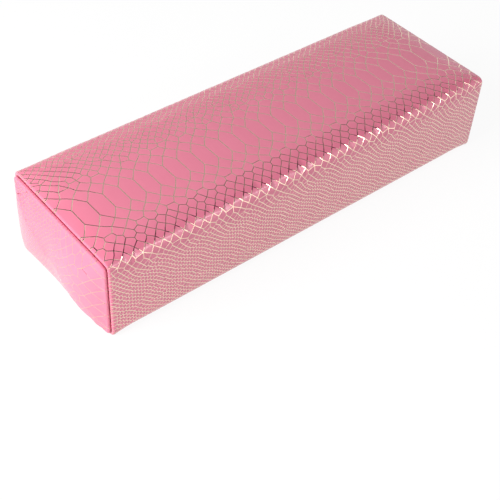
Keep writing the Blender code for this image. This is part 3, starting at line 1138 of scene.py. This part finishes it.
@dataclass
class CoverWrap(CoverPiece):
    """The sheet round the underside, front, top and back, closed by a seam underneath."""

    belly_y: float = -0.0077
    skin: SnakeSkin = field(default_factory=SnakeSkin)

    def build(self, materials: list[bpy.types.Material]) -> bpy.types.Object:
        """Cut the sheet into scales, lay it round the body and roll its ends into the seams.

        Args:
            materials: one for each Slot.

        Returns:
            The wrap's object.
        """
        form = self.form
        belly = form.belly_distance(self.belly_y)
        half, low, high = form.body / 2, -belly, form.girth.length - belly
        seeds, owners = self.skin.seeds(half, low, high)
        starts = form.girth.starts
        front = starts[GirthLeg.FRONT_TOP_EDGE] + form.edge_radius * np.pi / 4 - belly
        sheet = ScaleSheet(seeds, owners, np.array((-half, low)), np.array((half, high)),
                           slant_above=front, slant_below=front - form.edge_radius,
                           belly_spacing=self.skin.belly_spacing)
        scales = sheet.build()
        u, v = scales.flat[:, 0], scales.flat[:, 1] + belly
        under = (v < starts[GirthLeg.FRONT_LOW_EDGE]) | (v > starts[GirthLeg.UNDER_BACK])
        scales.height = np.where(under, np.minimum(scales.height, 0), scales.height)
        points = [form.wrap_surface(u, v, scales.height)]
        total = len(u)
        foil, plain = [scales.walls], []
        for sides, sign in (((0,), -1), ((2,), 1)):
            numbers, bottom = scales.border(sides)
            order = np.argsort(v[numbers])
            numbers, bottom = numbers[order], bottom[order]
            run = self.runs()[1:] - form.lengthwise.length / 2
            grid_u, grid_v = np.broadcast_arrays(-sign * run[:, None], v[numbers][None, :])
            level = np.broadcast_to(scales.height[numbers], grid_u.shape)
            points.append(form.wrap_surface(grid_u, grid_v, level).reshape(-1, 3))
            rows = total + np.arange(grid_u.size).reshape(grid_u.shape)
            total += grid_u.size
            quads = strip(np.concatenate((numbers[None, :], rows)), False, sign > 0)
            groove = np.tile(bottom[:-1] | bottom[1:], len(run))
            foil.append(quads[groove])
            plain.append(quads[~groove])
        piece = self.make("cover_wrap_skin", np.concatenate(points), np.concatenate(foil),
                          np.concatenate(plain), scales.plates, materials)
        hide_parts("cover_wrap")
        return piece


@dataclass
class EndPanel(CoverPiece):
    """A panel sewn into one end, with its rim rolled into the seam."""

    end: End = End.LEFT
    belly_across: float = 0.0510
    skin: SnakeSkin = field(default_factory=lambda: SnakeSkin(belly_phase=-0.0035, seed=5))

    def __post_init__(self) -> None:
        """Set up the table that gives the place on the rim at each bearing."""
        ring = self.form.ring.length
        fine = np.linspace(0, ring, self.form.swell.bearing_steps, endpoint=False)
        self.middle = np.array((0.0, self.form.height / 2))
        edge = self.edge(fine, np.zeros(len(fine)))
        self.rim = Bearings(edge[:, 1:] - self.middle, fine, ring)

    def edge(self, around: np.ndarray, height: np.ndarray) -> np.ndarray:
        """Space points where the flat face meets the rolled rim."""
        run = np.full(around.shape, self.form.allowance + self.form.roll_length)
        return self.form.rim_surface(self.end.value, run, around, height)

    def face(self, flat: np.ndarray, height: np.ndarray, size: np.ndarray) -> np.ndarray:
        """Space points of the panel's face.

        A point's share of the way from the middle to the sheet's border is kept, and so is its
        bearing, while the border takes the rounded outline. The swell bulges the face.

        Args:
            flat: sheet coordinates from the middle.
            height: heights above the sheet's face.
            size: the sheet's half sides.

        Returns:
            Points with a last axis of three.
        """
        form, side = self.form, self.end.value
        share = np.max(np.abs(flat) / size, axis=1)
        bearing = np.arctan2(flat[:, 1], side * flat[:, 0])
        edge = self.edge(self.rim.at(bearing), np.zeros(len(bearing)))
        points = np.empty_like(edge)
        points[:, 1:] = self.middle + (edge[:, 1:] - self.middle) * share[:, None]
        bulge = form.end_crown * form.swell.end(share, bearing)
        points[:, 0] = side * (form.length / 2 + bulge + height)
        return points

    def build(self, materials: list[bpy.types.Material]) -> bpy.types.Object:
        """Cut the panel into scales, bulge it and roll its rim into the seam.

        Args:
            materials: one for each Slot.

        Returns:
            The panel's object.
        """
        form, side = self.form, self.end.value
        size = np.array((form.width, form.height)) / 2 - form.roll_reach
        across = self.belly_across
        seeds, owners = self.skin.seeds(float(size[1]), -size[0] - across, size[0] - across)
        seeds = seeds + np.array((0.0, across))
        scales = ScaleSheet(seeds, owners, -size[::-1], size[::-1], belly=across,
                            belly_spacing=self.skin.belly_spacing, weld=(0.0019, 0.0006),
                            half_line=0.00013).build()
        scales.flat = np.stack((scales.flat[:, 1], -scales.flat[:, 0]), axis=1)
        points = [self.face(scales.flat, scales.height, size)]
        numbers, bottom = scales.border((0, 1, 2, 3))
        rim = scales.flat[numbers]
        order = np.argsort(np.arctan2(rim[:, 1], rim[:, 0]))
        numbers, bottom, rim = numbers[order], bottom[order], rim[order]
        around = self.rim.at(np.arctan2(rim[:, 1], side * rim[:, 0]))
        run, place = np.broadcast_arrays(self.runs()[1:, None], around[None, :])
        level = np.broadcast_to(scales.height[numbers], run.shape)
        points.append(form.rim_surface(side, run, place, level).reshape(-1, 3))
        rows = len(scales.flat) + np.arange(run.size).reshape(run.shape)
        quads = strip(np.concatenate((numbers[None, :], rows)), True, True)
        groove = np.tile(bottom | np.roll(bottom, -1), len(rows))
        piece = self.make(f"end_panel_skin_{self.end.name.lower()}", np.concatenate(points),
                          np.concatenate((scales.walls, quads[groove])), quads[~groove],
                          scales.plates, materials)
        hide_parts(f"end_panel_{self.end.name.lower()}")
        return piece


class Shader:
    """A material's or world's nodes, emptied and ready to be laid out."""

    def __init__(self, owner: bpy.types.ID) -> None:
        """Empty the owner's node tree.

        Args:
            owner: a material or a world.
        """
        owner.use_nodes = True
        self.owner = owner
        self.tree = owner.node_tree
        self.tree.nodes.clear()

    def node(self, kind: str, settings: dict[str, Any] | None = None,
             values: dict[Any, Any] | None = None) -> bpy.types.Node:
        """Add a node.

        Args:
            kind: the node's type.
            settings: attributes, set first.
            values: values or sockets of its inputs, by name or number.

        Returns:
            The node.
        """
        node = self.tree.nodes.new(kind)
        for name, value in (settings or {}).items():
            setattr(node, name, value)
        for name, value in (values or {}).items():
            socket = value.socket if isinstance(value, Value) else value
            if isinstance(socket, bpy.types.NodeSocket):
                self.tree.links.new(socket, node.inputs[name])
            else:
                node.inputs[name].default_value = socket
        return node

    def value(self, node: bpy.types.Node, name: Any = 0) -> "Value":
        """A node's output as a value that can be used in sums."""
        return Value(self, node.outputs[name])

    def pattern(self, kind: str, values: dict[str, Any], settings: dict[str, Any] | None = None,
                output: Any = 0) -> "Value":
        """A texture on Object coordinates.

        Args:
            kind: the texture node's type.
            values: values of its inputs.
            settings: its attributes.
            output: the output to read.

        Returns:
            The output's value.
        """
        place = self.node("ShaderNodeTexCoord").outputs["Object"]
        return self.value(self.node(kind, settings, {"Vector": place, **values}), output)

    def noise(self, scale: float, detail: float = 2.0) -> "Value":
        """Noise from 0 to 1."""
        return self.pattern("ShaderNodeTexNoise", {"Scale": scale, "Detail": detail})

    def mix(self, factor: Any, first: tuple[int, int, int],
            second: tuple[int, int, int]) -> bpy.types.NodeSocket:
        """Two colours, written as 0 to 255, mixed by a factor."""
        return self.node("ShaderNodeMix", {"data_type": "RGBA"}, {
            0: factor, 6: linear(*first), 7: linear(*second)}).outputs[2]

    def ended(self, surface: bpy.types.Node) -> bpy.types.ID:
        """The owner, with a shader node joined to its output.

        Args:
            surface: the shader node.

        Returns:
            The material or world.
        """
        kind = "World" if isinstance(self.owner, bpy.types.World) else "Material"
        self.node(f"ShaderNodeOutput{kind}", {}, {"Surface": surface.outputs[0]})
        return self.owner

    def principled(self, values: dict[str, Any],
                   bump: tuple[Any, float, float] | None = None) -> bpy.types.Material:
        """Finish the material with a Principled shader and, if given, a bump.

        Args:
            values: values or sockets of the shader.
            bump: height, strength and distance of the bump.

        Returns:
            The material.
        """
        if bump:
            bumps = dict(zip(("Height", "Strength", "Distance"), bump))
            values = {**values, "Normal": self.node("ShaderNodeBump", {}, bumps).outputs[0]}
        return self.ended(self.node("ShaderNodeBsdfPrincipled", {}, values))


class Value:
    """A number's socket in a shader, with the operators of arithmetic."""

    def __init__(self, shader: Shader, socket: bpy.types.NodeSocket) -> None:
        """Wrap a socket."""
        self.shader = shader
        self.socket = socket

    def join(self, operation: str, first: Any, second: Any) -> "Value":
        """A Math node of two values."""
        node = self.shader.node("ShaderNodeMath", {"operation": operation}, {0: first, 1: second})
        return Value(self.shader, node.outputs[0])

    def __add__(self, other: Any) -> "Value":
        """Sum."""
        return self.join("ADD", self, other)

    def __sub__(self, other: Any) -> "Value":
        """Difference."""
        return self.join("SUBTRACT", self, other)

    def __rsub__(self, other: Any) -> "Value":
        """Difference from a number."""
        return self.join("SUBTRACT", other, self)

    def __mul__(self, other: Any) -> "Value":
        """Product."""
        return self.join("MULTIPLY", self, other)

    __radd__ = __add__
    __rmul__ = __mul__

    def above(self, other: Any) -> "Value":
        """The larger of two values."""
        return self.join("MAXIMUM", self, other)


def linear(red: int, green: int, blue: int) -> tuple[float, float, float, float]:
    """A linear colour from one written as 0 to 255.

    Args:
        red: its red.
        green: its green.
        blue: its blue.

    Returns:
        Red, green, blue and an alpha of 1.
    """
    parts = [part / 255 for part in (red, green, blue)]
    return (*[part / 12.92 if part <= 0.04045 else ((part + 0.055) / 1.055) ** 2.4
              for part in parts], 1.0)


@dataclass(frozen=True)
class Finish:
    """What every finish has: two colours that a pattern mixes, its roughness and its bump."""

    name: str
    first: tuple[int, int, int]
    second: tuple[int, int, int]
    roughness: float
    uneven: float
    bump: tuple[float, float] | None

    def laid(self, shader: Shader, tint: Value, gloss: Value, relief: Value,
             more: dict[str, float] | None = None) -> bpy.types.Material:
        """The material, from the patterns that vary it.

        Args:
            shader: the material's nodes.
            tint: the share of the second colour.
            gloss: what moves the roughness up and down, from 0 to 1.
            relief: the bump's height.
            more: other values of the shader.

        Returns:
            The material.
        """
        values = {"Base Color": shader.mix(tint, self.first, self.second),
                  "Roughness": self.roughness + (gloss - 0.5) * self.uneven, **(more or {})}
        return shader.principled(values, (relief, *self.bump) if self.bump else None)

    def nodes(self) -> Shader:
        """The empty nodes of a new material."""
        return Shader(bpy.data.materials.new(self.name))


@dataclass(frozen=True)
class GlossyLeathercloth(Finish):
    """Pink coated leathercloth: a fine grain under a gloss coat, slightly uneven in colour."""

    name: str = "glossy pink leathercloth"
    first: tuple[int, int, int] = (229, 126, 152)
    second: tuple[int, int, int] = (223, 118, 144)
    roughness: float = 0.36
    uneven: float = 0.12
    bump: tuple[float, float] = (0.12, 0.0002)
    coat: float = 0.5
    coat_roughness: float = 0.14
    patches: float = 35.0
    grain: float = 1500.0

    def make(self) -> bpy.types.Material:
        """Colour from a broad noise, roughness and bump from a fine one.

        Returns:
            The material.
        """
        shader = self.nodes()
        fine = shader.noise(self.grain, 3.0)
        coat = {"Coat Weight": self.coat, "Coat Roughness": self.coat_roughness}
        return self.laid(shader, shader.noise(self.patches), fine, fine, coat)


@dataclass(frozen=True)
class GrooveFoil(Finish):
    """Pale gold foil pressed into the grooves between the scales."""

    name: str = "pale gold foil"
    first: tuple[int, int, int] = (238, 218, 192)
    second: tuple[int, int, int] = (222, 198, 174)
    roughness: float = 0.12
    uneven: float = 0.2
    bump: tuple[float, float] | None = None
    patches: float = 260.0

    def make(self) -> bpy.types.Material:
        """Metal whose colour and gloss vary a little along the lines.

        Returns:
            The material.
        """
        shader = self.nodes()
        patch = shader.noise(self.patches)
        return self.laid(shader, patch, patch, patch, {"Metallic": 1.0})


@dataclass(frozen=True)
class WovenBacking(Finish):
    """The cloth on the leathercloth's inside."""

    name: str = "woven backing"
    first: tuple[int, int, int] = (226, 214, 210)
    second: tuple[int, int, int] = (205, 190, 186)
    roughness: float = 0.85
    uneven: float = 0.1
    bump: tuple[float, float] = (0.4, 0.0002)
    patches: float = 120.0
    threads: float = 80.0

    def make(self) -> bpy.types.Material:
        """A plain weave: a bump from two crossed waves.

        Returns:
            The material.
        """
        shader = self.nodes()
        warp, weft = (shader.pattern("ShaderNodeTexWave", {"Scale": self.threads},
                                     {"bands_direction": way}, "Fac") for way in ("X", "Y"))
        patch = shader.noise(self.patches)
        return self.laid(shader, patch, patch, warp.above(weft))


@dataclass(frozen=True)
class OpenCellFoam(Finish):
    """Off-white foam with open pores."""

    name: str = "open cell foam"
    # The first colour is the foam's off-white darkened by painted shade in the pores, the second
    # its own off-white
    first: tuple[int, int, int] = (214, 206, 186)
    second: tuple[int, int, int] = (240, 236, 222)
    roughness: float = 0.9
    uneven: float = 0.1
    bump: tuple[float, float] = (0.6, 0.0004)
    pores: float = 900.0

    def make(self) -> bpy.types.Material:
        """Pores from a Voronoi texture, with painted shade: darker where they are deep.

        Returns:
            The material.
        """
        shader = self.nodes()
        depth = shader.pattern("ShaderNodeTexVoronoi", {"Scale": self.pores})
        # The pores' depth also mixes the colour, as painted shade in the pores
        return self.laid(shader, depth, depth, depth)


@dataclass(frozen=True)
class SpunThread(Finish):
    """Twisted pink sewing thread."""

    name: str = "spun thread"
    # The first colour is the thread's pink darkened by painted shade in the twist's grooves, the
    # second its own pink
    first: tuple[int, int, int] = (184, 84, 112)
    second: tuple[int, int, int] = (216, 112, 140)
    roughness: float = 0.6
    uneven: float = 0.1
    bump: tuple[float, float] = (0.5, 0.0001)
    twists: float = 700.0

    def make(self) -> bpy.types.Material:
        """A slanting wave for the twist, in bump and in colour, whose darker colour in the twist's
        grooves is painted shade.

        Returns:
            The material.
        """
        shader = self.nodes()
        twist = shader.pattern("ShaderNodeTexWave", {"Scale": self.twists},
                               {"bands_direction": "DIAGONAL"}, "Fac")
        # The twist also mixes the colour, as painted shade in its grooves
        return self.laid(shader, twist, twist, twist)


@dataclass
class Studio:
    """Camera, softboxes, cards for reflections, white world and pale floor."""

    azimuth: float = -41.60
    elevation: float = 44.72
    roll: float = 3.77
    focal_pixels: float = 1027.1
    frame_pixels: float = 500.0
    distance: float = 0.6464
    across: float = -0.0063
    up: float = -0.0379
    sensor: float = 36.0
    world_light: float = 0.32
    floor_level: float = -0.0002
    floor_reach: float = 3.0
    floor_grey: float = 0.9
    floor_share: float = 0.9
    floor_white: float = 1.02
    ceiling: float = 0.9
    black: float = 0.005
    grey: float = 0.52
    pale: float = 1.9

    def camera(self) -> None:
        """Place the camera by its bearing, roll and distance, moved sideways and up."""
        a, e, r = (math.radians(angle) for angle in (self.azimuth, self.elevation, self.roll))
        back = Vector((math.sin(a) * math.cos(e), -math.cos(a) * math.cos(e), math.sin(e)))
        right = Vector((math.cos(a), math.sin(a), 0.0))
        upward = back.cross(right)
        right, upward = (math.cos(r) * right + math.sin(r) * upward,
                         math.cos(r) * upward - math.sin(r) * right)
        data = bpy.data.cameras.new("camera")
        data.sensor_width = self.sensor
        data.lens = self.focal_pixels / self.frame_pixels * self.sensor
        data.clip_start, data.clip_end = 0.01, 20.0
        camera = placed("camera", data)
        place = back * self.distance + right * self.across + upward * self.up
        turn = Matrix((right, upward, back)).transposed().to_4x4()
        camera.matrix_world = Matrix.Translation(place) @ turn
        bpy.context.scene.camera = camera

    def softbox(self, name: str, place: tuple[float, float, float], size: tuple[float, float],
                watts: float) -> bpy.types.Object:
        """An area light that faces the cushion.

        Args:
            name: the light's name.
            place: where it hangs.
            size: its width and height.
            watts: its power.

        Returns:
            The light.
        """
        data = bpy.data.lights.new(name, "AREA")
        data.shape = "RECTANGLE"
        data.size, data.size_y = size
        data.energy = watts
        light = placed(name, data)
        light.location = place
        aim = Vector((0, 0, 0.03)) - Vector(place)
        light.rotation_euler = aim.to_track_quat("-Z", "Y").to_euler()
        return light

    @staticmethod
    def seen(shader: Shader) -> Value:
        """1 for rays from the camera and for mirrored and refracted ones, otherwise 0.

        Args:
            shader: the nodes to add it to.

        Returns:
            The value.
        """
        path = shader.node("ShaderNodeLightPath")
        camera, mirrored, refracted = (shader.value(path, f"Is {kind} Ray")
                                       for kind in ("Camera", "Glossy", "Transmission"))
        return camera.above(mirrored).above(refracted)

    @staticmethod
    def glow(shader: Shader, kind: str, strength: float) -> bpy.types.Node:
        """A white Background or Emission node of some strength."""
        return shader.node(f"ShaderNode{kind}", {}, {"Color": (1, 1, 1, 1), "Strength": strength})

    def both(self, shader: Shader, share: float, lit: bpy.types.Node,
             white: bpy.types.Node) -> bpy.types.ID:
        """End a shader that is white by a share where it is seen, and plain for light."""
        return shader.ended(shader.node("ShaderNodeMixShader", {}, {
            0: self.seen(shader) * share, 1: lit.outputs[0], 2: white.outputs[0]}))

    def world(self) -> None:
        """A white world for the camera and in reflections, and a plain grey one for light."""
        shader = Shader(bpy.data.worlds.new("studio"))
        lit = self.glow(shader, "Background", self.world_light)
        bpy.context.scene.world = self.both(shader, 1.0, lit, self.glow(shader, "Background", 1.0))

    @staticmethod
    def plane(name: str, corners: list[tuple[float, float, float]],
              finish: bpy.types.Material) -> bpy.types.Object:
        """A flat object of the studio from its four corners.

        Args:
            name: the object's name.
            corners: its corners in turn.
            finish: its material.

        Returns:
            The object.
        """
        mesh = bpy.data.meshes.new(name)
        mesh.from_pydata(corners, [], [(0, 1, 2, 3)])
        mesh.materials.append(finish)
        return placed(name, mesh)

    def floor(self) -> None:
        """A wide pale floor that looks white where no shadow falls."""
        shader = Shader(bpy.data.materials.new("pale floor"))
        lit = shader.node("ShaderNodeBsdfDiffuse", {}, {"Color": (*[self.floor_grey] * 3, 1)})
        white = self.glow(shader, "Emission", self.floor_white)
        finish = self.both(shader, self.floor_share, lit, white)
        reach = self.floor_reach
        floor = self.plane("floor", [(x, y, self.floor_level) for x, y in (
            (-reach, -reach), (reach, -reach), (reach, reach), (-reach, reach))], finish)

    def card(self, name: str, low: tuple[float, float, float],
             high: tuple[float, float, float], level: float) -> None:
        """A card of one grey that only reflections meet.

        Args:
            name: the card's name.
            low: its lowest corner.
            high: its highest corner. One coordinate is the same in both.
            level: the grey it shows, 0 for black.
        """
        shader = Shader(bpy.data.materials.new(name))
        finish = shader.ended(self.glow(shader, "Emission", level))
        if low[2] == high[2]:
            second, fourth = (high[0], low[1], low[2]), (low[0], high[1], low[2])
        else:
            second, fourth = (high[0], high[1], low[2]), (low[0], low[1], high[2])
        card = self.plane(name, [low, second, high, fourth], finish)
        card.visible_camera = False
        card.visible_diffuse = False
        card.visible_shadow = False

    def build(self) -> None:
        """Set the studio up."""
        bpy.context.scene.view_settings.view_transform = "Standard"
        self.camera()
        self.softbox("left_softbox", (-0.82, 0.08, 0.50), (0.6, 0.6), 11.5).visible_glossy = False
        self.softbox("edge_softbox", (0.33, -0.83, 0.62), (0.46, 0.10), 1.7)
        overhead = (("black_card", (-0.6, -0.62), (1.3, 0.34), self.black),
                    ("left_card", (-1.5, -0.35), (-0.6, 0.75), self.black),
                    ("back_card", (-0.6, 0.34), (0.05, 0.75), self.black),
                    ("grey_card", (0.05, 0.34), (1.8, 2.6), self.grey))
        for name, low, high, level in overhead:
            self.card(name, (*low, self.ceiling), (*high, self.ceiling), level)
        self.card("front_card", (-0.6, -1.1, 0.02), (1.4, -1.1, 0.62), self.pale)
        self.world()
        self.floor()


def dress_inner_nodes(nodes: dict[str, bpy.types.Object]) -> None:
    """Give the foam and the threads their finishes.

    Args:
        nodes: the carried-over nodes by name.
    """
    foam, thread = OpenCellFoam().make(), SpunThread().make()
    for name, node in nodes.items():
        if name == "foam_block" or "thread" in name:
            finish = foam if name == "foam_block" else thread
            for place in node.material_slots:
                place.material = finish
            LOG.info("%s: %s", name, finish.name)


def main() -> None:
    """Build the cushion's cover, dress what is inside it and set up the studio."""
    logging.basicConfig(level=logging.INFO, format="%(name)s: %(message)s")
    Studio().build()
    form = CushionForm()
    form.swell = ClothSwell(form)
    form.swell.simulate()
    finishes = [GlossyLeathercloth().make(), GrooveFoil().make(), WovenBacking().make()]
    pieces = [CoverWrap(form), EndPanel(form, end=End.LEFT), EndPanel(form, end=End.RIGHT)]
    for piece in pieces:
        made = piece.build(finishes)
        LOG.info("%s: %d faces", made.name, len(made.data.polygons))
    dress_inner_nodes(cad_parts)


if __name__ == "__main__":
    main()
